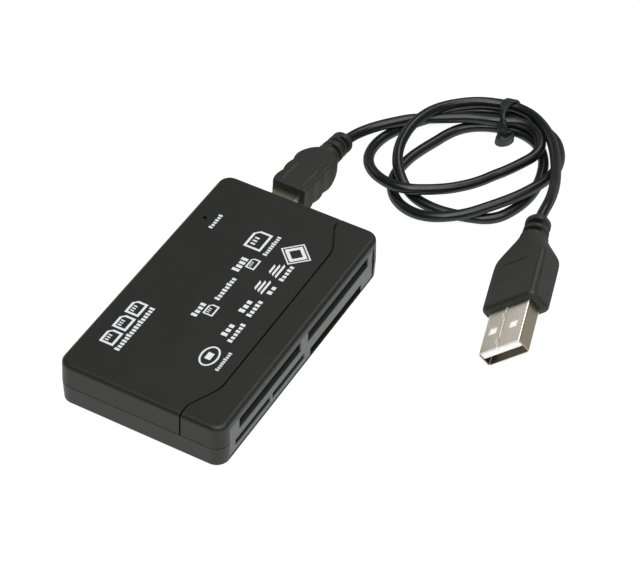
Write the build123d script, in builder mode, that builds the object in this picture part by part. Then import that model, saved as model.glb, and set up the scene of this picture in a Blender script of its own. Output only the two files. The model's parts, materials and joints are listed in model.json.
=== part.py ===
"""USB memory card reader with its detachable lead, in millimetres.

The origin is the middle of the reader's underside. +X runs along the reader towards the
lead, -Y faces the card slots and +Z is up.
"""
import os
from math import atan2, copysign, degrees, pi, radians, tan

from build123d import *

os.makedirs("parts", exist_ok=True)

# Housing
length = 75.0
width = 43.6
height = 12.5
part_height = 5.9            # the parting line, where the housing is largest
corner_radius = 3.4
upper_draft = 1.9            # degrees
lower_draft = 2.2
top_round = 1.2
bottom_bevel = 0.6
part_bevel = 0.18            # bevel on the upper shells along the parting line
wall = 1.3
roof = 1.3
floor_wall = 0.9
lip = 0.7                    # the lower shell's lip stands inside the upper shells
lip_height = 1.2
fit = 0.1                    # clearance between pieces that seat in each other
clear = 2.0                  # how far a cutting form reaches past what it cuts

# Seam between the top cover and the front cover
seam_end = 10.75             # from the slot side to the seam at the ends
seam_middle = 7.0            # and along the middle
seam_end_run = 3.7           # straight stretch in from each end
seam_slant = 7.8             # slanted stretch after it
seam_gap = 0.4
seam_outer_round = 3.0
seam_inner_round = 8.0
lap = 0.7                    # ledge of the top cover under the seam
lap_reach = 1.5

# Slot panel
panel_margin = 3.7           # from the housing's ends to the panel's ends
panel_drop = 2.4             # from the top of the housing to the panel's top
panel_set_back = 0.3
panel_wall = 1.4
panel_tab = 0.75
slot_bevel = 0.25
upper_slot_roof = 0.7        # panel left above the upper slots
upper_slot_base = 1.2        # socket floor under the upper slots, on the board
upper_left_margin = 4.6      # from the panel's ends to the slots
upper_left_inner = 1.7       # from the middle to the slots
upper_right_margin = 2.7
upper_right_inner = 2.1
lower_right_margin = 5.8
lower_right_inner = 3.2
lower_slot_drop = 1.3        # from the board's underside to the lower right slot's top
micro_left_margin = 2.9
micro_left_inner = 15.8
micro_right_outer = 14.25
micro_right_reach = 0.1      # past the middle
micro_slot_drop = 0.45       # from the board's underside to the small slots' top
micro_slot = 1.2
socket_wall = 0.6
micro_wall = 0.5
lid_sheet = 0.15
lid_side = 0.9
socket_to_header = 0.8
lower_socket_margin = 10.4   # from the board's back edge to the lower right socket
micro_depth = 16.0

# Circuit board and what it carries
board_bottom = 4.5
board_thickness = 1.0
board_gap = 0.4
board_set_back = 1.4         # from the sockets' fronts to the board's front edge
post_inset = 3.9
post_front = 6.8
post_back = 5.3
post_wide = 3.2
pin_wide = 1.7
pin_rise = 1.6
chip_size = 7.0
chip_height = 1.4
lead_reach = 1.0
lead_pitch = 1.1
lead_count = 6
lead_wide = 0.3
lead_sheet = 0.2
chip_inset = Vector(16.5, 16.3)        # from the lead end and the back, to the middle
crystal_inset = Vector(16.5, 22.8)
crystal_size = Vector(5.0, 3.2, 1.2)
regulator_inset = Vector(21.6, 8.4)
regulator_size = Vector(3.0, 1.6, 1.1)
capacitor_inset = Vector(12.6, 7.3)
capacitor_size = Vector(1.6, 0.8, 0.8)
capacitor_step = Vector(2.4, 1.6)
resistor_inset = Vector(20.9, 4.2)
resistor_size = Vector(1.0, 0.5, 0.35)
resistor_step = Vector(1.6, 1.2)
light_inset = Vector(16.8, 4.35)
light_hole = 1.0
light_size = Vector(1.6, 0.8, 0.7)

# Socket for the lead
mini_width = 6.8             # outside of the plug's shell
mini_height = 3.0
mini_side = 1.5              # upright part of its sides
mini_taper = 0.9             # how far the sides close in below
mini_round = 0.35
mini_sheet = 0.3
mini_play = 0.3
socket_sheet = 0.25
socket_set_in = 0.2
socket_depth = 8.9
socket_inset = 14.7          # from the back of the housing to the socket's middle
socket_block = 1.6
socket_tongue = Vector(4.6, 3.4, 0.7)
mini_pitch = 0.8
mini_count = 5

# Rear slot for the wide card
rear_left_margin = 6.7
rear_right_margin = 24.7
rear_drop = 3.0
header_depth = 20.8          # from the back of the housing to the header's face
header_block = 3.4
header_rail = 1.0
header_roof = 1.3            # room over the header
header_rise = 2.2            # from the board to the middle of the pins
header_set_in = 1.5          # the rails stop short of the housing's back
header_pitch = 1.27
header_count = 25
header_pin = 0.45
header_pin_length = 5.5

# Spring contacts in the card sockets
contact_sheet = 0.2
contact_wide = 0.8
contact_long = 7.0
contact_bump = 0.45
contact_from_back = 1.2
upper_left_contact_pitch = 1.2
upper_left_contact_count = 18
upper_right_contact_pitch = 1.4
upper_right_contact_count = 10
lower_right_contact_pitch = 2.5
lower_right_contact_count = 9
micro_contact_pitch = 1.1
micro_contact_count = 8

# Small plug, part of the way into its socket
mini_insert = 3.5
mini_shell = 8.85
mini_droop = 3.5             # degrees
mini_yaw = 1.5
mini_seat = 2.5              # length of the shell inside the grip
mini_grip_half = 4.95
mini_scallop = 0.4
mini_scallop_pitch = 2.45
mini_grip_body = 14.7
mini_grip = 18.2
mini_grip_thick = 7.3
mini_neck = 3.05
mini_edge = 0.6
mini_relief_end = 28.0
mini_relief_tip = 2.95
mini_relief_gaps = (21.5, 25.5)
mini_frame = Vector(7.0, 6.0)
mini_frame_at = 5.5
mini_rib = 0.6
mini_rib_rise = 0.3
mini_bars = ((11.3, 5.0), (13.2, 4.6), (15.1, 4.0))    # place along the grip, and width

# Host plug, lying on its edge
usb_tip = Vector(-15.94, -69.32, 6.62)      # measured like the cable's places
usb_heading = 14.7           # degrees
usb_rise = 3.9
usb_roll = -41.0
usb_width = 12.0
usb_height = 4.5
usb_sheet = 0.3
usb_round = 0.55
usb_shell = 12.9
usb_seat = 3.0
usb_hole = 2.3
usb_hole_at = 6.3
usb_hole_apart = 6.1
usb_seam = 0.12
usb_seam_jog = 0.7
usb_tongue = 1.9
usb_tongue_set_in = 0.25
usb_contact = Vector(8.0, 1.1, 0.2)
usb_contact_pitch = 2.3
usb_grip_wide = 15.7
usb_grip_thick = 7.7
usb_grip_round = 1.7
usb_grip_front = 0.9
usb_grip_body = 16.0
usb_shoulder = 7.2
usb_neck = 6.7
usb_relief_end = 43.4
usb_relief_tip = 3.1
usb_relief_gaps = (38.0, 40.6)
usb_groove = Vector(0.4, 6.6)
usb_groove_at = 27.7
usb_groove_deep = 0.3
relief_slot = 1.3            # gap between the rings of a strain relief
relief_core = 2.0            # thickness of the flat core that joins them
relief_play = 0.25           # how far the core stays inside the smallest ring

# Cable, its places measured from the lead's end of the reader and the middle of its socket
cable = 2.75
lead_in_exit = 4.7           # straight run out of the small plug
lead_out_exit = 6.8          # and out of the host plug
lead_in_points = ((43.6, -3.7, 4.3), (47.1, -9.2, 3.7))
lead_out_points = ((42.1, -53.75, 7.95), (51.1, -50.7, 5.5))
coil_turns = (               # middle, half length, half width and turn in degrees
    (45.8, -25.2, 23.5, 14.75, -34.3),
    (43.0, -33.6, 24.4, 14.5, -28.7),
    (45.2, -31.7, 23.3, 18.45, -0.4),
)
coil_height = 6.9
tie_place = Vector(63.5, -30.7)
tie_turn = 25.0
tie_wide = 4.0
tie_sheet = 0.8
bundle_wide = 8.4
bundle_high = 5.5
bundle_long = 8.0

# Places worked out from the sizes above
ceiling = height - roof
lower_wall = wall + fit + lip
front = -width / 2
back = width / 2
lead_end = length / 2
panel_half = length / 2 - panel_margin
panel_top = height - panel_drop
panel_face = front + panel_set_back
socket_front = panel_face + panel_wall + fit
board_top = board_bottom + board_thickness
board_half = length / 2 - lower_wall - board_gap
board_front = socket_front + board_set_back
board_back = back - lower_wall - board_gap
post_places = [(side * (length / 2 - post_inset), front + post_front) for side in (-1, 1)]
back_places = [(side * (length / 2 - post_inset), back - post_back) for side in (-1, 1)]
header_face = back - header_depth
header_front = header_face - header_block
upper_low = board_top + upper_slot_base
upper_high = panel_top - upper_slot_roof
upper_back = header_front - socket_to_header
upper_left = (-panel_half + upper_left_margin, -upper_left_inner)
upper_right = (upper_right_inner, panel_half - upper_right_margin)
lower_right = (lower_right_inner, panel_half - lower_right_margin)
lower_low = floor_wall + fit
lower_high = board_bottom - lower_slot_drop
micro_left = (-panel_half + micro_left_margin, -micro_left_inner)
micro_right = (-micro_right_outer, micro_right_reach)
micro_high = board_bottom - micro_slot_drop
micro_low = micro_high - micro_slot
rear_left = -length / 2 + rear_left_margin
rear_right = length / 2 - rear_right_margin
rear_middle = (rear_left + rear_right) / 2
rear_high = height - rear_drop
socket_grow = mini_play + socket_sheet
socket_middle = Vector(lead_end - socket_set_in, back - socket_inset,
                       board_top + mini_height / 2 + socket_grow)
cable_origin = Vector(lead_end, socket_middle.Y, 0)


def middle(span):
    """Middle of a pair of places."""
    return (span[0] + span[1]) / 2


def from_corner(inset):
    """Place on the board, measured in from the lead end and from the back."""
    return (lead_end - inset.X, back - inset.Y)


def inner_area(inset):
    """Plan of the housing set in by the given amount, its corners bevelled to follow the outside."""
    with BuildSketch() as area:
        Rectangle(length - 2 * inset, width - 2 * inset)
        chamfer(area.vertices(), 0.6 * (corner_radius - inset))
    return area.sketch


def front_area(shift, rounded=True):
    """Area between the slot side and the seam, grown past the seam by the shift."""
    end_line = front + seam_end + shift
    middle_line = front + seam_middle + shift
    outer = length / 2 - seam_end_run
    inner = outer - seam_slant
    reach = length / 2 + clear
    with BuildSketch() as area:
        with BuildLine():
            Polyline(
                (-reach, front - clear), (reach, front - clear), (reach, end_line), (outer, end_line),
                (inner, middle_line), (-inner, middle_line), (-outer, end_line), (-reach, end_line),
                close=True,
            )
        make_face()
        if rounded:
            for place, radius in ((outer, seam_outer_round), (inner, seam_inner_round)):
                corners = area.vertices().filter_by(lambda corner: abs(abs(corner.X) - place) < fit)
                fillet(corners, radius)
    return area.sketch


def mini_section(grow, rounded=True):
    """Cross-section of the small plug's shell, larger all round by the given amount."""
    half = mini_width / 2
    top = mini_height / 2
    with BuildSketch() as section:
        with BuildLine():
            Polyline(
                (-half, top), (-half, top - mini_side), (mini_taper - half, -top),
                (half - mini_taper, -top), (half, top - mini_side), (half, top), close=True,
            )
        make_face()
        if grow:
            offset(amount=grow, kind=Kind.INTERSECTION)
        if rounded:
            fillet(section.vertices(), mini_round)
    return section.sketch


def card_socket(slot, low, high, slot_low, slot_high, socket_back, side):
    """Moulded socket behind one card slot: a block with the card's space open at the front."""
    with BuildPart() as socket:
        with BuildSketch(Plane.XY.offset(low)):
            with Locations((middle(slot), (socket_front + socket_back) / 2)):
                Rectangle(slot[1] - slot[0] + 2 * side, socket_back - socket_front)
        extrude(amount=high - low)
        with BuildSketch(Plane.XZ.offset(-socket_front)):
            with Locations((middle(slot), (slot_low + slot_high) / 2)):
                Rectangle(slot[1] - slot[0], slot_high - slot_low)
        extrude(amount=socket_front - socket_back + side, mode=Mode.SUBTRACT)
    return socket.part


def contact_row(slot, count, pitch, seat, side, socket_back):
    """Spring strips on a socket's floor (side 1) or under its top (side -1), with a raised bend."""
    far = socket_back - contact_from_back
    near = far - contact_long
    sheet = seat + side * contact_sheet
    bend = sheet + side * contact_bump
    with BuildPart() as row:
        for number in range(count):
            place = middle(slot) + pitch * (number - (count - 1) / 2)
            with BuildSketch(Plane.YZ.offset(place - contact_wide / 2)):
                with BuildLine():
                    Polyline(
                        (near, seat), (far, seat), (far, sheet), (near + 3 * contact_wide, sheet),
                        (near + 2 * contact_wide, bend), (near + contact_wide, bend), (near, sheet),
                        close=True,
                    )
                make_face()
        extrude(amount=contact_wide)
    return row.part


def micro_lid(slot):
    """Folded metal lid under a small socket, with a flange up each side and two windows."""
    outside = slot[1] - slot[0] + 2 * micro_wall
    with BuildPart() as lid:
        with BuildSketch(Plane.XZ.offset(-socket_front)):
            with Locations((middle(slot), micro_low)):
                Rectangle(outside + 2 * lid_sheet, lid_side + lid_sheet, align=(Align.CENTER, Align.MIN))
            with Locations((middle(slot), micro_low)):
                Rectangle(outside, lid_side + lid_sheet, align=(Align.CENTER, Align.MIN), mode=Mode.SUBTRACT)
            with Locations((middle(slot), micro_low)):
                Rectangle(outside + 2 * lid_sheet, lid_sheet, align=(Align.CENTER, Align.MAX))
        extrude(amount=-micro_depth)
        with BuildSketch(Plane.XY.offset(micro_low)):
            with Locations((middle(slot), socket_front + micro_depth / 2)):
                with GridLocations(outside / 2, 0, 2, 1):
                    Rectangle(outside / 5, micro_depth / 4)
        extrude(amount=-2 * lid_sheet, mode=Mode.SUBTRACT)
    return lid.part


def small_blocks(place, size, step, columns, rows):
    """A patch of like surface parts on the board."""
    with BuildPart() as blocks:
        with BuildSketch(Plane.XY.offset(board_top)):
            with Locations(place):
                with GridLocations(step.X, step.Y, columns, rows):
                    Rectangle(size.X, size.Y)
        extrude(amount=size.Z)
    return blocks.part


def plane_beside(frame):
    """Plane of a plug seen from the side."""
    return Plane(frame.origin, x_dir=frame.x_dir, z_dir=-frame.y_dir)


def plane_across(frame):
    """Plane across a plug's axis."""
    return Plane(frame.origin, x_dir=frame.y_dir, z_dir=frame.x_dir)


def strain_relief(across, start, gaps, end, first, last, upright):
    """Rings behind a plug, each smaller than the one before, on a flat core."""
    starts = [start] + [gap + relief_slot / 2 for gap in gaps]
    ends = [gap - relief_slot / 2 for gap in gaps] + [end]
    core = 2 * (last - relief_play)
    with BuildPart() as relief:
        for number, (near, far) in enumerate(zip(starts, ends)):
            with BuildSketch(across.offset(near)):
                Circle(first + (last - first) * number / len(gaps))
            extrude(amount=far - near)
        with BuildSketch(across.offset(start)):
            Rectangle(core, relief_core, rotation=90 if upright else 0)
        extrude(amount=end - start)
    return relief.part


def oval(half_length, half_width):
    """Closed outline of four arcs: an end radius near the short half, and the side radius that fits it."""
    end = half_width * (half_width / half_length) ** 0.7
    side = (half_length ** 2 + half_width ** 2 - 2 * half_length * end) / (2 * (half_width - end))
    join = degrees(atan2(side - half_width, half_length - end))
    with BuildSketch() as area:
        with BuildLine():
            CenterArc((half_length - end, 0), end, -join, 2 * join)
            CenterArc((0, half_width - side), side, join, 180 - 2 * join)
            CenterArc((end - half_length, 0), end, 180 - join, 2 * join)
            CenterArc((0, side - half_width), side, 180 + join, 180 - 2 * join)
        make_face()
    return area.sketch


def bend_radii(points):
    """Largest radius that each corner of a cable's route leaves room for."""
    radii = []
    for before, corner, after in zip(points, points[1:], points[2:]):
        run_in = corner - before
        run_out = after - corner
        turn = run_in.get_angle(run_out)
        radii.append(0.45 * min(run_in.length, run_out.length) / tan(radians(turn) / 2))
    return radii


def cable_tube(points, name):
    """Round cable along straight runs joined by arcs."""
    radii = bend_radii(points)
    with BuildPart() as tube:
        with BuildLine() as route:
            FilletPolyline(*points, radius=radii)
        with BuildSketch(Plane(points[0], z_dir=points[1] - points[0])):
            Circle(cable / 2)
        sweep()
    section = pi * cable ** 2 / 4
    print(name, "radii", [round(radius, 1) for radius in radii],
          "volume over section times length", round(tube.part.volume / section / route.wires()[0].length, 4))
    return tube.part


# Upper and lower outer forms, before they are hollowed
with BuildPart() as upper_form:
    with BuildSketch(Plane.XY.offset(part_height)):
        RectangleRounded(length, width, corner_radius)
    extrude(amount=height - part_height, taper=upper_draft)
    fillet(upper_form.faces().sort_by(Axis.Z)[-1].edges(), top_round)
    chamfer(upper_form.faces().sort_by(Axis.Z)[0].edges(), part_bevel)

with BuildPart() as lower_form:
    with BuildSketch(Plane.XY.offset(part_height)):
        RectangleRounded(length, width, corner_radius)
    extrude(amount=-part_height, taper=lower_draft)
    chamfer(lower_form.faces().sort_by(Axis.Z)[0].edges(), bottom_bevel)

with BuildPart() as upper_space:
    with BuildSketch(Plane.XY.offset(part_height)):
        add(inner_area(wall))
    extrude(amount=ceiling - part_height)

# Openings that both shells share
with BuildPart() as socket_opening:
    with BuildSketch(Plane.YZ.offset(lead_end + clear)):
        with Locations((socket_middle.Y, socket_middle.Z)):
            Rectangle(mini_width + 2 * (socket_grow + fit), mini_height + 2 * (socket_grow + fit))
    extrude(amount=-lower_wall - 2 * clear)

with BuildPart() as rear_opening:
    with BuildSketch(Plane.XZ.offset(-back - clear)):
        with Locations((rear_middle, (part_height + rear_high) / 2)):
            Rectangle(rear_right - rear_left, rear_high - part_height)
    extrude(amount=lower_wall + 2 * clear)

with BuildPart() as panel_opening:
    with BuildSketch(Plane.XZ.offset(-front + clear)):
        with Locations((0, floor_wall)):
            Rectangle(
                2 * (panel_half + fit), panel_top + fit - floor_wall, align=(Align.CENTER, Align.MIN),
            )
    extrude(amount=-lower_wall - clear - fit)

# Ledge that laps under the seam, clear of the lower shell's lip
lap_low = part_height + lip_height + fit
with BuildPart() as seam_ledge:
    with BuildSketch(Plane.XY.offset(lap_low)):
        add(front_area(seam_gap + lap_reach, rounded=False))
        add(front_area(-lap_reach, rounded=False), mode=Mode.SUBTRACT)
    extrude(amount=ceiling - lap_low)
    with BuildSketch(Plane.XY.offset(lap_low)):
        add(inner_area(wall))
    extrude(amount=ceiling - lap_low, mode=Mode.INTERSECT)
    with BuildSketch(Plane.XY.offset(lap_low)):
        Rectangle(length - 2 * (wall + lap), width - 2 * (wall + lap))
    extrude(amount=ceiling - lap - lap_low, mode=Mode.SUBTRACT)

# Top cover: the large upper shell, with the light hole and the rear slot
with BuildPart() as top_cover:
    add(upper_form.part)
    with BuildSketch(Plane.XY.offset(part_height - clear)):
        add(front_area(seam_gap))
    extrude(amount=height + clear, mode=Mode.SUBTRACT)
    add(upper_space.part, mode=Mode.SUBTRACT)
    add(seam_ledge.part)
    with BuildSketch(Plane.XY.offset(ceiling)):
        with Locations(*back_places):
            Rectangle(post_wide, post_wide)
    extrude(amount=board_top + fit - ceiling)
    with BuildSketch(Plane.XY.offset(ceiling)):
        with Locations(*back_places):
            Rectangle(pin_wide + 2 * fit, pin_wide + 2 * fit)
    extrude(amount=board_top - ceiling, mode=Mode.SUBTRACT)
    with Locations((*from_corner(light_inset), height)):
        Hole(light_hole / 2, depth=2 * roof)
    add(socket_opening.part, mode=Mode.SUBTRACT)
    add(rear_opening.part, mode=Mode.SUBTRACT)
top_cover.part.label = "top_cover"
export_step(top_cover.part, "parts/top_cover.step")

# Front cover: the upper strip over the card slots
with BuildPart() as front_cover:
    add(upper_form.part)
    with BuildSketch(Plane.XY.offset(part_height - clear)):
        add(front_area(0))
    extrude(amount=height + clear, mode=Mode.INTERSECT)
    add(upper_space.part, mode=Mode.SUBTRACT)
    with BuildSketch(Plane.XY.offset(ceiling)):
        with Locations(*post_places):
            Rectangle(post_wide, post_wide)
    extrude(amount=board_top + fit - ceiling)
    with BuildSketch(Plane.XY.offset(ceiling)):
        with Locations(*post_places):
            Rectangle(pin_wide + 2 * fit, pin_wide + 2 * fit)
    extrude(amount=board_top - ceiling, mode=Mode.SUBTRACT)
    add(panel_opening.part, mode=Mode.SUBTRACT)
front_cover.part.label = "front_cover"
export_step(front_cover.part, "parts/front_cover.step")

# Bottom cover: the lower shell, with its lip and the posts under the board
with BuildPart() as bottom_cover:
    add(lower_form.part)
    with BuildSketch(Plane.XY.offset(part_height)):
        add(inner_area(wall + fit))
    extrude(amount=lip_height)
    with BuildSketch(Plane.XY.offset(floor_wall)):
        add(inner_area(lower_wall))
    extrude(amount=height, mode=Mode.SUBTRACT)
    add(socket_opening.part, mode=Mode.SUBTRACT)
    add(rear_opening.part, mode=Mode.SUBTRACT)
    add(panel_opening.part, mode=Mode.SUBTRACT)
    with BuildSketch(Plane.XY.offset(floor_wall)):
        with Locations(*post_places, *back_places):
            Rectangle(post_wide, post_wide)
    extrude(amount=board_bottom - floor_wall)
    with BuildSketch(Plane.XY.offset(board_bottom)):
        with Locations(*post_places, *back_places):
            Rectangle(pin_wide, pin_wide)
    extrude(amount=board_thickness + pin_rise)
bottom_cover.part.label = "bottom_cover"
export_step(bottom_cover.part, "parts/bottom_cover.step")

# Slot panel: the plate with the card slots, held by a tab behind the wall at each end
with BuildPart() as slot_panel:
    with BuildSketch(Plane.XZ.offset(-panel_face)):
        with Locations((0, floor_wall)):
            Rectangle(2 * panel_half, panel_top - floor_wall, align=(Align.CENTER, Align.MIN))
        for slot in (upper_left, upper_right):
            with Locations((middle(slot), (upper_low + upper_high) / 2)):
                Rectangle(slot[1] - slot[0], upper_high - upper_low, mode=Mode.SUBTRACT)
        for slot in (micro_left, micro_right):
            with Locations((middle(slot), (micro_low + micro_high) / 2)):
                Rectangle(slot[1] - slot[0], micro_slot, mode=Mode.SUBTRACT)
        with Locations((middle(lower_right), lower_high)):
            Rectangle(
                lower_right[1] - lower_right[0], lower_high, align=(Align.CENTER, Align.MAX),
                mode=Mode.SUBTRACT,
            )
    extrude(amount=-panel_wall)
    face = slot_panel.faces().sort_by(Axis.Y)[0]
    chamfer(face.inner_wires().edges(), slot_bevel)
    tab_low = floor_wall + panel_tab
    tab_high = panel_top - panel_tab
    tab_back = front + lower_wall + fit + panel_tab
    tab_end = length / 2 - corner_radius
    with BuildSketch(Plane.XY.offset(tab_low)):
        for side in (-1, 1):
            with BuildLine():
                Polyline(
                    (side * (panel_half - 2 * panel_tab), panel_face + panel_wall / 2),
                    (side * (panel_half - fit), panel_face + panel_wall / 2),
                    (side * (panel_half - fit), tab_back - panel_tab),
                    (side * tab_end, tab_back - panel_tab),
                    (side * tab_end, tab_back),
                    (side * (panel_half - 2 * panel_tab), tab_back),
                    close=True,
                )
            make_face()
    extrude(amount=tab_high - tab_low)
slot_panel.part.label = "slot_panel"
export_step(slot_panel.part, "parts/slot_panel.step")

# Circuit board, notched at its ends for the posts' pins
with BuildPart() as circuit_board:
    with BuildSketch(Plane.XY.offset(board_bottom)):
        with Locations((0, (board_front + board_back) / 2)):
            Rectangle(2 * board_half, board_back - board_front)
        notch = board_half - length / 2 + post_inset + pin_wide / 2 + fit
        for x, y in post_places + back_places:
            with Locations((copysign(board_half, x), y)):
                Rectangle(2 * notch, pin_wide + 2 * fit, mode=Mode.SUBTRACT)
    extrude(amount=board_thickness)
circuit_board.part.label = "circuit_board"
export_step(circuit_board.part, "parts/circuit_board.step")

# Controller chip, with its legs
with BuildPart() as controller_chip:
    with BuildSketch(Plane.XY.offset(board_top + lead_sheet)):
        with Locations(from_corner(chip_inset)):
            Rectangle(chip_size, chip_size)
    extrude(amount=chip_height)
    chamfer(controller_chip.faces().sort_by(Axis.Z)[-1].edges(), lead_sheet)
    with BuildSketch(Plane.XY.offset(board_top)):
        with Locations(from_corner(chip_inset)):
            with GridLocations(lead_pitch, 0, lead_count, 1):
                Rectangle(lead_wide, chip_size + 2 * lead_reach)
            with GridLocations(0, lead_pitch, 1, lead_count):
                Rectangle(chip_size + 2 * lead_reach, lead_wide)
            Rectangle(chip_size - lead_reach, chip_size - lead_reach)
    extrude(amount=lead_sheet)
controller_chip.part.label = "controller_chip"
export_step(controller_chip.part, "parts/controller_chip.step")

# Crystal in its metal can
with BuildPart() as crystal_can:
    with BuildSketch(Plane.XY.offset(board_top)):
        with Locations(from_corner(crystal_inset)):
            Rectangle(crystal_size.X, crystal_size.Y)
    extrude(amount=crystal_size.Z)
    chamfer(crystal_can.faces().sort_by(Axis.Z)[-1].edges(), lead_sheet)
crystal_can.part.label = "crystal_can"
export_step(crystal_can.part, "parts/crystal_can.step")

# Small surface parts
regulator = small_blocks(from_corner(regulator_inset), regulator_size, regulator_size, 1, 1)
regulator.label = "voltage_regulator"
export_step(regulator, "parts/voltage_regulator.step")

capacitors = small_blocks(from_corner(capacitor_inset), capacitor_size, capacitor_step, 2, 3)
capacitors.label = "chip_capacitors"
export_step(capacitors, "parts/chip_capacitors.step")

resistors = small_blocks(from_corner(resistor_inset), resistor_size, resistor_step, 2, 3)
resistors.label = "chip_resistors"
export_step(resistors, "parts/chip_resistors.step")

# Activity light under the hole in the top cover
with BuildPart() as activity_light:
    with BuildSketch(Plane.XY.offset(board_top)):
        with Locations(from_corner(light_inset)):
            Rectangle(light_size.X, light_size.Y)
    extrude(amount=light_size.Z / 2)
    with BuildSketch(Plane.XY.offset(board_top + light_size.Z / 2)):
        with Locations(from_corner(light_inset)):
            Rectangle(light_size.X / 2, light_size.Y)
    extrude(amount=light_size.Z / 2, taper=lower_draft)
activity_light.part.label = "activity_light"
export_step(activity_light.part, "parts/activity_light.step")

# Socket for the lead: a folded shell round a block with a tongue
socket_plane = Plane(socket_middle, x_dir=(0, 1, 0), z_dir=(1, 0, 0))
socket_back_plane = socket_plane.offset(-socket_depth)

with BuildPart() as usb_socket_shell:
    with BuildSketch(socket_back_plane):
        add(mini_section(socket_grow))
        add(mini_section(mini_play, rounded=False), mode=Mode.SUBTRACT)
    extrude(amount=socket_depth)
usb_socket_shell.part.label = "usb_socket_shell"
export_step(usb_socket_shell.part, "parts/usb_socket_shell.step")

with BuildPart() as usb_socket_tongue:
    with BuildSketch(socket_back_plane):
        add(mini_section(mini_play, rounded=False))
    extrude(amount=socket_block)
    with BuildSketch(socket_back_plane.offset(socket_block)):
        Rectangle(socket_tongue.X, socket_tongue.Z)
    extrude(amount=socket_tongue.Y)
usb_socket_tongue.part.label = "usb_socket_tongue"
export_step(usb_socket_tongue.part, "parts/usb_socket_tongue.step")

with BuildPart() as usb_socket_contacts:
    with BuildSketch(socket_back_plane.offset(socket_block)):
        with Locations((0, socket_tongue.Z / 2 + contact_sheet / 2)):
            with GridLocations(mini_pitch, 0, mini_count, 1):
                Rectangle(mini_pitch / 2, contact_sheet)
    extrude(amount=socket_tongue.Y - contact_sheet)
usb_socket_contacts.part.label = "usb_socket_contacts"
export_step(usb_socket_contacts.part, "parts/usb_socket_contacts.step")

# Card sockets on top of the board
upper_top = upper_high + socket_wall
for name, slot, count, pitch in (
    ("upper_left", upper_left, upper_left_contact_count, upper_left_contact_pitch),
    ("upper_right", upper_right, upper_right_contact_count, upper_right_contact_pitch),
):
    socket = card_socket(slot, board_top, upper_top, upper_low, upper_high, upper_back, socket_wall)
    socket.label = name + "_socket"
    export_step(socket, "parts/" + name + "_socket.step")
    contacts = contact_row(slot, count, pitch, upper_low, 1, upper_back - socket_wall)
    contacts.label = name + "_contacts"
    export_step(contacts, "parts/" + name + "_contacts.step")

# Large card socket under the board, open below to the floor
lower_back = board_back - lower_socket_margin
lower_socket = card_socket(
    lower_right, lower_low, board_bottom, lower_low, lower_high, lower_back, socket_wall,
)
lower_socket.label = "lower_right_socket"
export_step(lower_socket, "parts/lower_right_socket.step")
lower_contacts = contact_row(
    lower_right, lower_right_contact_count, lower_right_contact_pitch, lower_high, -1,
    lower_back - socket_wall,
)
lower_contacts.label = "lower_right_contacts"
export_step(lower_contacts, "parts/lower_right_contacts.step")

# Two small card sockets under the board, each closed by a metal lid
micro_back = socket_front + micro_depth
for name, slot in (("micro_left", micro_left), ("micro_right", micro_right)):
    socket = card_socket(slot, micro_low, board_bottom, micro_low, micro_high, micro_back, micro_wall)
    socket.label = name + "_socket"
    export_step(socket, "parts/" + name + "_socket.step")
    lid = micro_lid(slot)
    lid.label = name + "_lid"
    export_step(lid, "parts/" + name + "_lid.step")
    contacts = contact_row(
        slot, micro_contact_count, micro_contact_pitch, micro_high, -1, micro_back - micro_wall,
    )
    contacts.label = name + "_contacts"
    export_step(contacts, "parts/" + name + "_contacts.step")

# Header for the wide card: a block with a rail at each side, and two rows of pins
header_top = ceiling - header_roof
rail_back = back - header_set_in
with BuildPart() as rear_pin_header:
    with BuildSketch(Plane.XY.offset(board_top)):
        with Locations((rear_middle, (header_front + rail_back) / 2)):
            Rectangle(rear_right - rear_left + 2 * header_rail, rail_back - header_front)
        with Locations((rear_middle, (header_face + rail_back) / 2)):
            Rectangle(rear_right - rear_left, rail_back - header_face, mode=Mode.SUBTRACT)
    extrude(amount=header_top - board_top)
    with BuildSketch(Plane.XY.offset(board_top)):
        with Locations((rear_middle, board_back)):
            Rectangle(
                rear_right - rear_left + 4 * header_rail, clear, align=(Align.CENTER, Align.MIN),
            )
    extrude(amount=part_height + lip_height + fit - board_top, mode=Mode.SUBTRACT)
rear_pin_header.part.label = "rear_pin_header"
export_step(rear_pin_header.part, "parts/rear_pin_header.step")

with BuildPart() as rear_header_pins:
    with BuildSketch(Plane.XZ.offset(-header_face)):
        with Locations((rear_middle, board_top + header_rise)):
            with GridLocations(header_pitch, header_pitch, header_count, 2):
                Rectangle(header_pin, header_pin)
    extrude(amount=-header_pin_length)
rear_header_pins.part.label = "rear_header_pins"
export_step(rear_header_pins.part, "parts/rear_header_pins.step")

# Small plug: its frame starts at the front of the grip and follows the tilt in the socket
mini_pivot = socket_middle - Vector(mini_insert / 2, 0, 0)
mini_tilt = Plane(Location(mini_pivot, (0, mini_droop, -mini_yaw), Extrinsic.XYZ))
mini_start = mini_tilt.from_local_coords((mini_shell - mini_insert / 2, 0, 0))
mini_plan = Plane(mini_start, x_dir=mini_tilt.x_dir, z_dir=mini_tilt.z_dir)
mini_across = plane_across(mini_plan)
mini_up = Axis(mini_plan.origin, mini_plan.z_dir)
mini_half_thick = mini_grip_thick / 2

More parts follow.
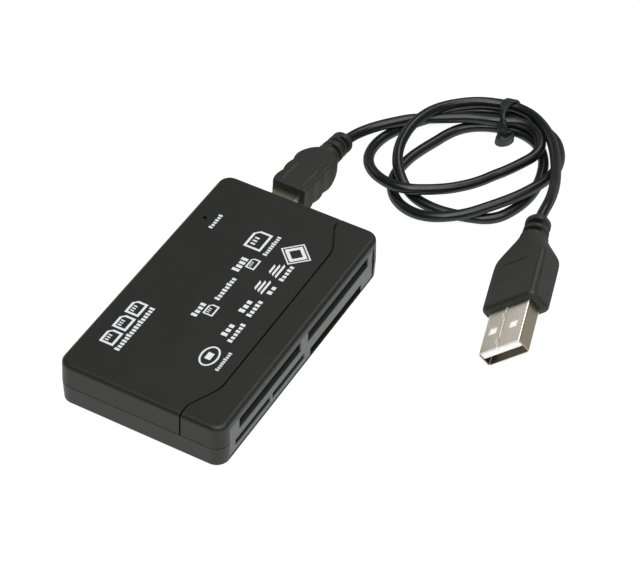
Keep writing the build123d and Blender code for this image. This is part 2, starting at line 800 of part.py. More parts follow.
with BuildPart() as mini_plug_grip:
    with BuildSketch(mini_plan):
        with BuildLine():
            scallops = [
                (mini_scallop_pitch * number, mini_grip_half - mini_scallop * (number % 2 == 0))
                for number in range(6)
            ]
            side_line = FilletPolyline(
                *scallops, (mini_grip_body, mini_grip_half - mini_scallop / 2), (mini_grip, mini_neck),
                radius=0.4 * mini_scallop_pitch ** 2 / mini_scallop,
            )
            Line(side_line @ 1, (mini_grip, 0))
            Line((0, 0), side_line @ 0)
            mirror(about=Plane.XZ)
        make_face()
    extrude(amount=mini_half_thick, both=True)
    chamfer(mini_plug_grip.faces().filter_by(mini_up).edges(), mini_edge)
    add(strain_relief(
        mini_across, mini_grip, mini_relief_gaps, mini_relief_end, mini_neck, mini_relief_tip, True,
    ))
    with BuildSketch(mini_plan.offset(mini_half_thick)):
        with Locations((mini_frame_at, 0)):
            Rectangle(mini_frame.X, mini_frame.Y)
            Rectangle(mini_frame.X - 2 * mini_rib, mini_frame.Y - 2 * mini_rib, mode=Mode.SUBTRACT)
    extrude(amount=mini_rib_rise)
    with BuildSketch(mini_plan.offset(mini_neck)):
        for place, bar in mini_bars:
            with Locations((place, 0)):
                Rectangle(mini_rib, bar)
    extrude(amount=mini_half_thick - mini_neck + mini_rib_rise)
    with BuildSketch(mini_across):
        add(mini_section(0))
    extrude(amount=mini_seat, mode=Mode.SUBTRACT)
mini_plug_grip.part.label = "mini_plug_grip"
export_step(mini_plug_grip.part, "parts/mini_plug_grip.step")

with BuildPart() as mini_plug_shell:
    with BuildSketch(mini_across.offset(-mini_shell)):
        add(mini_section(0))
        add(mini_section(-mini_sheet, rounded=False), mode=Mode.SUBTRACT)
    extrude(amount=mini_shell + mini_seat)
mini_plug_shell.part.label = "mini_plug_shell"
export_step(mini_plug_shell.part, "parts/mini_plug_shell.step")

with BuildPart() as mini_plug_tongue:
    with BuildSketch(mini_across.offset(-mini_shell)):
        add(mini_section(-mini_sheet, rounded=False))
    extrude(amount=mini_shell + mini_seat)
    with BuildSketch(mini_across.offset(-mini_shell)):
        Rectangle(socket_tongue.X + 2 * mini_play, socket_tongue.Z + 2 * mini_play)
    extrude(amount=socket_tongue.Y + mini_insert, mode=Mode.SUBTRACT)
mini_plug_tongue.part.label = "mini_plug_tongue"
export_step(mini_plug_tongue.part, "parts/mini_plug_tongue.step")

with BuildPart() as mini_plug_contacts:
    with BuildSketch(mini_across.offset(-mini_shell)):
        with Locations((0, socket_tongue.Z / 2 + mini_play)):
            with GridLocations(mini_pitch, 0, mini_count, 1):
                Rectangle(mini_pitch / 2, contact_sheet, align=(Align.CENTER, Align.MAX))
    extrude(amount=socket_tongue.Y + mini_insert)
mini_plug_contacts.part.label = "mini_plug_contacts"
export_step(mini_plug_contacts.part, "parts/mini_plug_contacts.step")

# Host plug: its frame starts at the tip of the shell
usb_plan = Plane(Location(cable_origin + usb_tip, (usb_roll, -usb_rise, usb_heading), Extrinsic.XYZ))
usb_profile = plane_beside(usb_plan)
usb_across = plane_across(usb_plan)
usb_axis = Axis(usb_plan.origin, usb_plan.x_dir)
usb_shoulder_at = usb_shell + usb_grip_body
usb_neck_at = usb_shoulder_at + usb_shoulder

with BuildPart() as usb_plug_grip:
    for plane, half, mode in (
        (usb_plan, usb_grip_wide / 2, Mode.ADD), (usb_profile, usb_grip_thick / 2, Mode.INTERSECT),
    ):
        with BuildSketch(plane):
            with BuildLine():
                Polyline(
                    (usb_shell, 0), (usb_shell, half), (usb_shoulder_at, half), (usb_neck_at, usb_neck / 2),
                    (usb_neck_at, 0),
                )
                mirror(about=Plane.XZ)
            make_face()
        extrude(amount=usb_grip_wide, both=True, mode=mode)
    long_edges = usb_plug_grip.edges().filter_by(
        lambda edge: abs((edge @ 1 - edge @ 0).dot(usb_plan.x_dir)) > usb_shoulder / 2
    )
    fillet(long_edges, usb_grip_round)
    chamfer(usb_plug_grip.faces().sort_by(usb_axis)[0].edges(), usb_grip_front)
    add(strain_relief(
        usb_across, usb_neck_at, usb_relief_gaps, usb_relief_end, usb_neck / 2, usb_relief_tip, False,
    ))
    with BuildSketch(usb_plan.offset(usb_grip_thick / 2 - usb_groove_deep)):
        with Locations((usb_groove_at, 0)):
            Rectangle(usb_groove.X, usb_groove.Y)
    extrude(amount=clear, mode=Mode.SUBTRACT)
    with BuildSketch(usb_across.offset(usb_shell)):
        RectangleRounded(usb_width, usb_height, usb_round)
    extrude(amount=usb_seat, mode=Mode.SUBTRACT)
usb_plug_grip.part.label = "usb_plug_grip"
export_step(usb_plug_grip.part, "parts/usb_plug_grip.step")

with BuildPart() as usb_plug_shell:
    with BuildSketch(usb_across):
        RectangleRounded(usb_width, usb_height, usb_round)
        Rectangle(usb_width - 2 * usb_sheet, usb_height - 2 * usb_sheet, mode=Mode.SUBTRACT)
    extrude(amount=usb_shell + usb_seat)
    with BuildSketch(usb_plan):
        with Locations((usb_hole_at, 0)):
            with GridLocations(0, usb_hole_apart, 1, 2):
                Rectangle(usb_hole, usb_hole)
    extrude(amount=usb_height, both=True, mode=Mode.SUBTRACT)
    with BuildSketch(usb_plan.offset(usb_height / 2 - usb_seam)):
        with BuildLine():
            Polyline(
                (-usb_seam, 0), (usb_hole, 0), (usb_hole, usb_seam_jog), (2 * usb_hole, usb_seam_jog),
                (2 * usb_hole, 0), (usb_shell - usb_hole, 0),
            )
        trace(line_width=usb_seam)
    extrude(amount=clear, mode=Mode.SUBTRACT)
usb_plug_shell.part.label = "usb_plug_shell"
export_step(usb_plug_shell.part, "parts/usb_plug_shell.step")

usb_tongue_top = usb_height / 2 - usb_sheet
with BuildPart() as usb_plug_tongue:
    with BuildSketch(usb_across.offset(usb_tongue_set_in)):
        with Locations((0, usb_tongue_top)):
            Rectangle(usb_width - 2 * usb_sheet, usb_tongue, align=(Align.CENTER, Align.MAX))
    extrude(amount=usb_shell + usb_seat - usb_tongue_set_in)
    with BuildSketch(usb_across.offset(usb_shell)):
        Rectangle(usb_width - 2 * usb_sheet, 2 * usb_tongue_top)
    extrude(amount=usb_seat)
usb_plug_tongue.part.label = "usb_plug_tongue"
export_step(usb_plug_tongue.part, "parts/usb_plug_tongue.step")

with BuildPart() as usb_plug_contacts:
    with BuildSketch(usb_across.offset(usb_shell - usb_contact.X)):
        with Locations((0, usb_tongue_top - usb_tongue)):
            with GridLocations(usb_contact_pitch, 0, 4, 1):
                Rectangle(usb_contact.Y, usb_contact.Z, align=(Align.CENTER, Align.MAX))
    extrude(amount=usb_contact.X)
usb_plug_contacts.part.label = "usb_plug_contacts"
export_step(usb_plug_contacts.part, "parts/usb_plug_contacts.step")

# Coil: the outer shape of three loose turns on the table, gathered where the tie goes round them
tie_middle = cable_origin + tie_place
tie_plan = Plane(tie_middle, x_dir=Vector(1, 0).rotate(Axis.Z, tie_turn), z_dir=(0, 0, 1))
tie_across = Plane(
    tie_middle + Vector(0, 0, tie_sheet + fit + bundle_high / 2), x_dir=tie_plan.x_dir, z_dir=-tie_plan.y_dir,
)
turn_places = [
    (Location(cable_origin + Vector(x, y), (0, 0, turn)), half_length, half_width)
    for x, y, half_length, half_width, turn in coil_turns
]
with BuildPart() as coil_area:
    with BuildSketch():
        for place, half_length, half_width in turn_places:
            with Locations(place):
                add(oval(half_length + cable / 2, half_width + cable / 2))
    extrude(amount=coil_height)

with BuildPart() as coil_hole:
    add(coil_area.part)
    for place, half_length, half_width in turn_places:
        with BuildSketch():
            with Locations(place):
                add(oval(half_length - cable / 2, half_width - cable / 2))
        extrude(amount=coil_height, mode=Mode.INTERSECT)

with BuildPart() as cable_coil:
    add(coil_area.part)
    add(coil_hole.part, mode=Mode.SUBTRACT)
    with BuildSketch(tie_plan):
        Rectangle(2 * bundle_wide, tie_wide + 2 * fit)
    extrude(amount=coil_height, mode=Mode.SUBTRACT)
    with BuildSketch(tie_across):
        RectangleRounded(bundle_wide, bundle_high, cable / 2)
    extrude(amount=bundle_long / 2, both=True)
cable_coil.part.label = "cable_coil"
export_step(cable_coil.part, "parts/cable_coil.step")

with BuildPart() as cable_tie:
    with BuildSketch(tie_across):
        RectangleRounded(bundle_wide + 2 * tie_sheet, bundle_high + 2 * tie_sheet, cable / 2 + tie_sheet)
        RectangleRounded(bundle_wide, bundle_high, cable / 2, mode=Mode.SUBTRACT)
    extrude(amount=tie_wide / 2, both=True)
cable_tie.part.label = "cable_tie"
export_step(cable_tie.part, "parts/cable_tie.step")

# Cable between the plugs and the coil, ending at the outside of the turns
lead_in_route = [
    mini_plan.from_local_coords((mini_relief_end, 0, 0)),
    mini_plan.from_local_coords((mini_relief_end + lead_in_exit, 0, 0)),
    *[cable_origin + Vector(*point) for point in lead_in_points],
]
lead_in_tube = cable_tube(lead_in_route, "cable_lead_in")
with BuildPart() as cable_lead_in:
    add(lead_in_tube)
    add(coil_area.part, mode=Mode.SUBTRACT)
cable_lead_in.part.label = "cable_lead_in"
export_step(cable_lead_in.part, "parts/cable_lead_in.step")

lead_out_route = [
    usb_plan.from_local_coords((usb_relief_end, 0, 0)),
    usb_plan.from_local_coords((usb_relief_end + lead_out_exit, 0, 0)),
    *[cable_origin + Vector(*point) for point in lead_out_points],
]
lead_out_tube = cable_tube(lead_out_route, "cable_lead_out")
with BuildPart() as cable_lead_out:
    add(lead_out_tube)
    add(coil_area.part, mode=Mode.SUBTRACT)
cable_lead_out.part.label = "cable_lead_out"
export_step(cable_lead_out.part, "parts/cable_lead_out.step")
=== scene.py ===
"""Looks of a memory card reader with its lead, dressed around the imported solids.

The file is laid out as an add-on and run as a script. The frame is loaded first, then one
operator dresses each group of pieces and the last one sets the studio. Lengths are metres,
and sizes written in millimetres are multiplied by MM.
"""
import json
from math import radians

import bpy
import numpy as np
from bpy.props import FloatProperty, FloatVectorProperty, PointerProperty
from mathutils import Euler, Matrix, Vector


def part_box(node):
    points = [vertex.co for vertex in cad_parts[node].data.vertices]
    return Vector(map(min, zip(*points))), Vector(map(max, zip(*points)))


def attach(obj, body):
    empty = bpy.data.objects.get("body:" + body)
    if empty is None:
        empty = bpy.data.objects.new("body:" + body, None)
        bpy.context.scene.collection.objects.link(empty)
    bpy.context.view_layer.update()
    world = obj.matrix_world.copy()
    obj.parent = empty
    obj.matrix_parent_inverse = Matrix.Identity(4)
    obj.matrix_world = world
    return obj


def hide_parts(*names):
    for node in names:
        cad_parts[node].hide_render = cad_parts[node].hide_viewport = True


bl_info = {
    "name": "Card Reader Looks",
    "version": (1, 0, 0),
    "blender": (4, 5, 0),
    "location": "View3D > Sidebar > Reader",
    "description": "Finishes, print, plugs, cable and studio for a memory card reader",
    "category": "Object",
}

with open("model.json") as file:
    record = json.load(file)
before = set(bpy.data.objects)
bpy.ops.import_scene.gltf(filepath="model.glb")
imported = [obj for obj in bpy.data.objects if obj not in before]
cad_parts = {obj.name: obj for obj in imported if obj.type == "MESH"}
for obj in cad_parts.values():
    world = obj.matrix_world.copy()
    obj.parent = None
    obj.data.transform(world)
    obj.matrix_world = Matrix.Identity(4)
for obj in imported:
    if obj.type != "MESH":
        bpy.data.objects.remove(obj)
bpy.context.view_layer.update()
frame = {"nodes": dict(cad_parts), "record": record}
MM = 0.001
CRISP = radians(38.0)        # edges that bend more than this stay sharp


# Settings

class ReaderFinishes(bpy.types.PropertyGroup):
    """Colours of the reader's plastics, metals and print."""

    housing: FloatVectorProperty(
        name="Housing", description="Moulded covers", subtype="COLOR", size=3,
        default=(0.0078, 0.0087, 0.0058))
    panel: FloatVectorProperty(
        name="Slot panel", description="Plate with the card slots", subtype="COLOR", size=3,
        default=(0.024, 0.026, 0.026))
    print_ink: FloatVectorProperty(
        name="Print", description="Pad-printed marks on the top", subtype="COLOR", size=3,
        default=(0.74, 0.76, 0.79))
    rubber: FloatVectorProperty(
        name="Plug grips", description="Overmoulded grips of both plugs", subtype="COLOR", size=3,
        default=(0.0180, 0.0192, 0.0160))
    jacket: FloatVectorProperty(
        name="Cable jacket", description="Glossy jacket of the cable", subtype="COLOR", size=3,
        default=(0.0042, 0.0044, 0.0048))
    nickel: FloatVectorProperty(
        name="Host plug shell", description="Bright plated sheet", subtype="COLOR", size=3,
        default=(0.84, 0.78, 0.66))
    warm_nickel: FloatVectorProperty(
        name="Small plug shell", description="Warm plated sheet", subtype="COLOR", size=3,
        default=(0.44, 0.41, 0.31))


class ReaderCable(bpy.types.PropertyGroup):
    """Sizes of the cable and of its tie."""

    diameter: FloatProperty(
        name="Diameter", description="Outside of the jacket", unit="LENGTH", default=2.75 * MM)
    length: FloatProperty(
        name="Length", description="From one plug's relief to the other's", unit="LENGTH", default=0.466)
    tie_width: FloatProperty(
        name="Tie width", description="Width of the flat tie", unit="LENGTH", default=2.6 * MM)
    tie_thickness: FloatProperty(
        name="Tie thickness", description="Thickness of the flat tie", unit="LENGTH", default=0.8 * MM)


class ReaderStudio(bpy.types.PropertyGroup):
    """Camera and lights."""

    camera_place: FloatVectorProperty(
        name="Camera", description="Where the camera stands", subtype="TRANSLATION", size=3,
        default=(-0.34271, -0.20355, 0.40154))
    camera_target: FloatVectorProperty(
        name="Target", description="Point on the table in the middle of the picture", subtype="TRANSLATION",
        size=3, default=(0.02359, -0.01288, 0.0))
    camera_roll: FloatProperty(
        name="Roll", description="Lean of the camera about its own axis", subtype="ANGLE",
        default=radians(2.082))
    camera_lens: FloatProperty(
        name="Lens", description="Focal length on a 36 mm wide sensor", unit="CAMERA", default=135.1)
    top_power: FloatProperty(
        name="Top light", description="Wide soft box over the table", unit="POWER", default=11.5)
    streak_power: FloatProperty(
        name="Streak light", description="Smaller box that draws highlights on the cable", unit="POWER",
        default=0.7)
    side_power: FloatProperty(
        name="Side light", description="Low box beyond the reader, mirrored in the host plug", unit="POWER",
        default=0.55)
    sky: FloatProperty(
        name="Surroundings", description="Strength of the plain surroundings", subtype="FACTOR", default=0.18)
    edge_power: FloatProperty(
        name="Edge light", description="Box beyond the reader that draws the long edges", unit="POWER",
        default=1.3)


# Shader maths

class Wire:
    """An output socket that takes part in Python sums: each sum adds a Math node."""

    def __init__(self, finish, socket):
        self.finish = finish
        self.socket = socket

    def math(self, operation, first, second=0.0):
        """A Math node on one or two numbers or wires."""
        return self.finish.node("Math", {"operation": operation}, {0: first, 1: second})

    def __add__(self, other):
        return self.math("ADD", self, other)

    def __radd__(self, other):
        return self.math("ADD", other, self)

    def __sub__(self, other):
        return self.math("SUBTRACT", self, other)

    def __rsub__(self, other):
        return self.math("SUBTRACT", other, self)

    def __mul__(self, other):
        return self.math("MULTIPLY", self, other)

    def __rmul__(self, other):
        return self.math("MULTIPLY", other, self)

    def __abs__(self):
        return self.math("ABSOLUTE", self)


class Finish:
    """A material being built: every node comes from node(), and surface() closes it."""

    def __init__(self, name):
        self.material = bpy.data.materials.new(name)
        self.material.use_nodes = True
        self.tree = self.material.node_tree
        self.tree.nodes.clear()
        self.place = self.node("TexCoord", output="Object")

    def node(self, kind, settings=None, inputs=None, output=0):
        """Adds a node: its settings first, then the values or links of its sockets."""
        made = self.tree.nodes.new("ShaderNode" + kind)
        for name, value in (settings or {}).items():
            setattr(made, name, value)
        for key, value in (inputs or {}).items():
            if isinstance(value, Wire):
                self.tree.links.new(value.socket, made.inputs[key])
            else:
                made.inputs[key].default_value = value
        return Wire(self, made.outputs[output])

    def noise(self, scale, detail, roughness=0.5, stretch=(1.0, 1.0, 1.0)):
        """Noise from 0 to 1 in object space, with the scale in waves per metre along each axis."""
        place = self.node("Mapping", {"vector_type": "POINT"}, {"Vector": self.place, "Scale": stretch})
        return self.node("TexNoise", {"noise_dimensions": "3D"}, {
            "Vector": place, "Scale": scale, "Detail": detail, "Roughness": roughness})

    def axes(self, origin, turn):
        """The three coordinates in a frame of its own, in millimetres."""
        place = self.node("Mapping", {"vector_type": "TEXTURE"}, {
            "Vector": self.place, "Location": origin, "Rotation": turn, "Scale": (MM, MM, MM)})
        return [self.node("SeparateXYZ", None, {"Vector": place}, output=axis) for axis in "XYZ"]

    def between(self, low, high, value):
        """Number that goes from low to high as the value goes from 0 to 1."""
        return low + (high - low) * value

    def rim(self, low, high):
        """0 where the surface faces the eye and 1 where it turns away, for gloss that fades at the rims."""
        return self.step(self.node("LayerWeight", None, {"Blend": 0.5}, output="Facing"), low, high)

    def step(self, value, low, high):
        """0 before low, 1 past high and a smooth change between them, also where low is the larger."""
        return self.node("MapRange", {"interpolation_type": "SMOOTHSTEP"}, {
            "Value": value, "From Min": low, "From Max": high})

    def blend(self, factor, first, second):
        """Colour between two colours."""
        first, second = (part if isinstance(part, Wire) else (*part, 1.0) for part in (first, second))
        sockets = {"Factor": factor, "A": first, "B": second}
        return self.node("Mix", {"data_type": "RGBA"}, sockets, output="Result")

    def bump(self, height, distance, strength):
        """Normal bent by a height field."""
        return self.node("Bump", None, {"Height": height, "Distance": distance, "Strength": strength})

    def surface(self, **inputs):
        """Closes the material with a Principled shader, whose sockets are named with underscores."""
        sockets = {name.replace("_", " "): value for name, value in inputs.items()}
        shader = self.node("BsdfPrincipled", None, sockets)
        end = self.tree.nodes.new("ShaderNodeOutputMaterial")
        self.tree.links.new(shader.socket, end.inputs["Surface"])
        return self.material


def scaled(colour, factor):
    """A colour made darker or lighter."""
    return tuple(part * factor for part in colour)


# Finishes

def moulded_plastic(name, base, grain=0.5, shine=0.42):
    """Spark-eroded black plastic: pores a few tenths of a millimetre wide, with soft handling marks."""
    dust_grey, dust_cover, pore_depth = (0.20, 0.20, 0.19), 0.10, 0.02 * MM
    finish = Finish(name)
    pores = finish.noise(5200.0, 3.0, 0.6)
    patches = finish.noise(90.0, 3.0, 0.55)
    dust = finish.step(finish.noise(1500.0, 1.0), 0.74, 0.80)
    tint = finish.blend(patches, scaled(base, 0.88), scaled(base, 1.14))
    return finish.surface(
        Base_Color=finish.blend(dust * dust_cover, tint, dust_grey),
        Roughness=finish.between(shine - 0.05, shine + 0.12, patches * 0.6 + pores * 0.4),
        Normal=finish.bump(pores, pore_depth, grain),
        Specular_IOR_Level=0.40,
    )


def soft_rubber(name, base):
    """Satin overmould: finer grain than the housing, and a faint bloom in wide patches."""
    rim_matt, grain_depth = 0.4, 0.012 * MM
    finish = Finish(name)
    grain = finish.noise(4200.0, 2.0)
    bloom = finish.noise(160.0, 3.0, 0.6)
    return finish.surface(
        Base_Color=finish.blend(bloom, scaled(base, 0.85), scaled(base, 1.25)),
        Roughness=finish.between(0.38, 0.50, bloom) + rim_matt * finish.rim(0.35, 0.75),
        Normal=finish.bump(grain, grain_depth, 0.5),
        Specular_IOR_Level=0.36,
    )


def glossy_jacket(name, base, shine=0.24):
    """Smooth vinyl: nearly black, its gloss uneven in soft patches, its skin as fine as an extruder leaves."""
    rim_matt, skin_depth = 0.45, 0.001 * MM
    finish = Finish(name)
    patches = finish.noise(140.0, 2.0)
    skin = finish.noise(3000.0, 1.0)
    return finish.surface(
        Base_Color=finish.blend(patches, scaled(base, 0.85), scaled(base, 1.2)),
        Roughness=finish.between(shine, shine + 0.07, patches) + rim_matt * finish.rim(0.35, 0.80),
        Normal=finish.bump(skin, skin_depth, 0.2),
        Specular_IOR_Level=0.45,
    )


def plated_sheet(name, base, along, shine=0.22):
    """Rolled and plated sheet: fine scratches along the rolling direction, and cloudy wear."""
    finish = Finish(name)
    scratches = finish.noise(900.0, 4.0, 0.7, along)
    cloud = finish.noise(330.0, 3.0, 0.6)
    return finish.surface(
        Base_Color=finish.blend(cloud, scaled(base, 0.82), base),
        Metallic=1.0,
        Roughness=finish.between(shine, shine + 0.20, scratches * 0.5 + cloud * 0.5),
        Normal=finish.bump(scratches, 0.006 * MM, 0.4),
    )


def folded_shell(name, base, origin, turn):
    """Bright folded sheet: a keyed seam down the top with a painted highlight along it, painted highlights on
    the folds, and painted shade on the narrow sides and on the walls within the shell.

    Places are millimetres in the plug's own frame: along it from the tip, across it and up.
    """
    # Painted shade: darker colours for the narrow sides and for the walls within the shell, standing in for the
    # shade there
    painted_shade_side, painted_shade_inside = (0.40, 0.35, 0.26), (0.24, 0.21, 0.16)
    # Painted highlights: near-white colours on the folds and along the seam line, standing in for the light
    # they catch
    painted_highlight_fold, painted_highlight_seam = (0.98, 0.96, 0.91), (0.97, 0.95, 0.90)
    keys_middle, key_offset, key_jog, seam_place = 6.4, 4.0, 0.7, 0.45
    finish = Finish(name)
    along, across, up = finish.axes(origin, turn)
    cloud = finish.noise(330.0, 3.0, 0.6)
    scratches = finish.noise(900.0, 4.0, 0.7, (1.0, 0.2, 1.0))
    key = finish.step(abs(abs(along - keys_middle) - key_offset), 0.9, 0.7)
    # The seam line, which gets a painted highlight
    seam = finish.step(abs(across - seam_place - key_jog * key), 0.17, 0.09) * finish.step(up, 1.6, 1.9)
    # Painted shade on the narrow sides
    side = finish.step(abs(across), 5.6, 5.95)
    # Painted shade on the walls within the shell
    inside_shade = finish.step(abs(across), 5.85, 5.75) * finish.step(abs(up), 2.10, 2.00)
    # Painted highlight on the folded edges
    fold_highlight = finish.step(abs(across), 5.45, 5.65) * finish.step(abs(up), 1.75, 1.95)
    sheet = finish.blend(side, finish.blend(cloud, scaled(base, 0.82), base), painted_shade_side)
    sheet = finish.blend(fold_highlight, finish.blend(inside_shade, sheet, painted_shade_inside), painted_highlight_fold)
    return finish.surface(
        # The seam line is painted as a bright non-metal: a painted highlight
        Base_Color=finish.blend(seam, sheet, painted_highlight_seam),
        Metallic=1.0 - 0.8 * seam,
        Roughness=finish.between(0.22, 0.40, scratches * 0.5 + cloud * 0.5),
        Normal=finish.bump(scratches, 0.006 * MM, 0.4),
    )


def plain_moulding(name, base, shine=0.5, painted_glow=0.0):
    """Small inner moulding, with a little unevenness, and painted light: an emission that brightens white
    plastic as if light came through it.
    """
    finish = Finish(name)
    uneven = finish.noise(1400.0, 2.0)
    return finish.surface(
        Base_Color=finish.blend(uneven, scaled(base, 0.85), scaled(base, 1.1)),
        Roughness=finish.between(shine - 0.08, shine + 0.08, uneven),
        Normal=finish.bump(uneven, 0.01 * MM, 0.4),
        # Painted light: a strength above zero makes the moulding shine though it is no lamp
        Emission_Color=(*base, 1.0),
        Emission_Strength=painted_glow,
    )


def solder_mask(name):
    """Green board: the weave under the mask shows as a faint crossed bump."""
    finish = Finish(name)
    warp = finish.noise(1300.0, 1.0, stretch=(1.0, 0.15, 1.0))
    weave = warp + finish.noise(1300.0, 1.0, stretch=(0.15, 1.0, 1.0))
    patches = finish.noise(220.0, 2.0)
    return finish.surface(
        Base_Color=finish.blend(patches, (0.010, 0.085, 0.035), (0.020, 0.140, 0.055)),
        Roughness=finish.between(0.25, 0.38, patches),
        Normal=finish.bump(weave, 0.01 * MM, 0.5),
    )


def print_film(name, base):
    """Pad-printed ink: slightly thin in places, so the colour is not quite even."""
    finish = Finish(name)
    thin = finish.noise(3000.0, 3.0, 0.6)
    return finish.surface(
        Base_Color=finish.blend(thin, scaled(base, 0.80), base),
        Roughness=finish.between(0.45, 0.60, thin),
        Normal=finish.bump(thin, 0.006 * MM, 0.3),
    )


def pale_table(name):
    """White table that glows, so that it stays nearly free of shadows."""
    finish = Finish(name)
    mottle = finish.noise(30.0, 2.0)
    return finish.surface(
        Base_Color=finish.blend(mottle, (0.11, 0.11, 0.11), (0.13, 0.13, 0.13)),
        Roughness=0.8,
        Emission_Color=(0.99, 0.995, 1.0, 1.0),
        Emission_Strength=0.94,
    )


# Meshes

def dress(material, *names):
    """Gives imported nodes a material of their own."""
    for name in names:
        for slot in frame["nodes"][name].material_slots:
            slot.material = material


def add_piece(name, vertices, faces, material, smooth=True):
    """Puts a mesh at the origin, riding on the reader."""
    mesh = bpy.data.meshes.new(name)
    mesh.from_pydata(vertices.tolist(), [], faces)
    mesh.polygons.foreach_set("use_smooth", np.full(len(mesh.polygons), smooth))
    mesh.set_sharp_from_angle(angle=CRISP)
    mesh.materials.append(material)
    mesh.update()
    piece = bpy.data.objects.new(name, mesh)
    bpy.context.scene.collection.objects.link(piece)
    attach(piece, "root")
    return piece


def loop_shares(per_side, per_corner):
    """Shares of a rounded rectangle's loop, as four rows of numbers along the loop.

    A point is ((w - r) A + r C, (t - r) B + r S) for half sizes w and t and corner radius r.
    On a corner A and B stay at its signs while C and S turn; on a side C and S stay.
    """
    signs = np.array([(1, 1), (-1, 1), (-1, -1), (1, -1), (1, 1)], float)
    runs = []
    for corner in range(4):
        turn = np.radians(np.linspace(90 * corner, 90 * (corner + 1), per_corner))
        runs.append(np.stack([
            np.full(per_corner, signs[corner, 0]), np.full(per_corner, signs[corner, 1]),
            np.cos(turn), np.sin(turn)]))
        share = np.linspace(0, 1, per_side + 2)[1:-1]
        side = signs[corner] + (signs[corner + 1] - signs[corner]) * share[:, None]
        ahead = np.array([[np.cos(turn[-1])], [np.sin(turn[-1])]])
        runs.append(np.vstack([side.T, np.repeat(ahead, per_side, axis=1)]))
    return np.concatenate(runs, axis=1)


def loop_section(half_wide, half_thick, corner, shares):
    """Rounded-rectangle sections, one row per station: widths and thicknesses of every loop point."""
    a, b, c, s = shares
    wide = (half_wide - corner)[:, None] * a + corner[:, None] * c
    thick = (half_thick - corner)[:, None] * b + corner[:, None] * s
    return wide, thick


def carried(path, across, up, wide, thick):
    """Sections carried along a path and closed at both ends: point = path + wide * across + thick * up."""
    points = path[:, None] + wide[..., None] * across[:, None] + thick[..., None] * up[:, None]
    rows, columns = wide.shape
    row, column = np.meshgrid(np.arange(rows - 1), np.arange(columns), indexing="ij")
    after = (column + 1) % columns
    quads = np.stack([
        row * columns + column, row * columns + after,
        (row + 1) * columns + after, (row + 1) * columns + column], -1)
    last = (rows - 1) * columns
    caps = [list(range(columns))[::-1], list(range(last, last + columns))]
    return points.reshape(-1, 3), quads.reshape(-1, 4).tolist() + caps


def ramp(value, bend):
    """Zero before 0 and rising one to one after it, rounded over the bend: (x + sqrt(x^2 + b^2)) / 2."""
    return (value + np.sqrt(value ** 2 + bend ** 2)) / 2


def rise(value, low, high):
    """Smooth step from 0 at low to 1 at high: 3 t^2 - 2 t^3."""
    share = np.clip((value - low) / (high - low), 0, 1)
    return share * share * (3 - 2 * share)


def within(value, low, high, edge):
    """1 between low and high and 0 outside, with smooth edges."""
    return rise(value, low - edge, low) * (1 - rise(value, high, high + edge))


def shouldered(value, low, high, power):
    """1 until low, then falling to 0 at high as an oval's end does: sqrt(1 - t^p)."""
    share = np.clip((value - low) / (high - low), 0, 1)
    return np.sqrt(1 - share ** power)


def patch(along, wide, length, width, edge, side_edge):
    """1 on a rectangle of a grip's flat side and 0 round it: the product of two smooth windows."""
    return within(along[:, None], *length, edge) * within(wide, *width, side_edge)


def round_over(distance, radius):
    """How far a rounded edge stands back at a distance from its end: r - sqrt(r^2 - (r - d)^2)."""
    short = np.clip(radius - distance, 0, radius)
    return radius - np.sqrt(radius ** 2 - short ** 2)


def stations(*stretches):
    """Places along an axis, as stretches of (start, end, count) joined end to end."""
    parts = [np.linspace(start, end, count, endpoint=False) for start, end, count in stretches]
    return np.append(np.concatenate(parts), stretches[-1][1])


def straight_path(origin, axes, along):
    """Path and section directions of a piece that is straight along its own x axis."""
    x, y, z = (np.array(axis) for axis in axes)
    return np.array(origin) + along[:, None] * x, np.tile(y, (len(along), 1)), np.tile(z, (len(along), 1))


def flowing(points, per_span):
    """Quadratic spline along a row of points: each span bends at a point, between half-way places."""
    middles = (points[1:-2] + points[2:-1]) / 2
    starts = np.concatenate([points[:1], middles])[:, None]
    ends = np.concatenate([middles, points[-1:]])[:, None]
    share = np.linspace(0, 1, per_span, endpoint=False)[None, :, None]
    spans = (1 - share) ** 2 * starts + 2 * share * (1 - share) * points[1:-1, None] + share ** 2 * ends
    return np.concatenate([spans.reshape(-1, points.shape[1]), points[-1:]])


# Places of the two plugs

SMALL_PLUG_TURN = Euler((0.0, radians(3.5), radians(-1.5)), "XYZ")
HOST_PLUG_TURN = Euler((radians(-41.0), radians(-3.9), radians(14.7)), "XYZ")


def small_plug_start():
    """Front of the small plug's grip: the plug droops and turns a little in its socket."""
    low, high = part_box("usb_socket_shell")
    socket = Vector((high.x, (low.y + high.y) / 2, (low.z + high.z) / 2))
    inserted = 3.5 * MM
    shell = 8.85 * MM
    pivot = socket - Vector((inserted / 2, 0, 0))
    return pivot + SMALL_PLUG_TURN.to_matrix() @ Vector((shell - inserted / 2, 0, 0))


def host_plug_tip():
    """Tip of the host plug's shell, which lies rolled over on its edge."""
    mounts = {mount["name"]: mount for mount in frame["record"]["mounts"]}
    return Vector(mounts["host_plug"]["pos_m"])


# Printed shapes, as arrays of four-cornered outlines in millimetres

def bars(*places):
    """Rectangles from (left, bottom, width, height)."""
    left, bottom, width, height = np.array(places, float).T
    right, top = left + width, bottom + height
    corners = ((left, bottom), (right, bottom), (right, top), (left, top))
    return np.stack([np.stack(corner, -1) for corner in corners], 1)


def caption(x, y, length, height, count):
    """A row of short blocks of uneven height, centred on a place."""
    pitch = length / count
    heights = height * np.resize([1.0, 0.8, 0.8, 0.9, 0.8], count)
    left = x - length / 2 + pitch * np.arange(count)
    return bars(*zip(left, np.full(count, y - height / 2), np.full(count, 0.66 * pitch), heights))


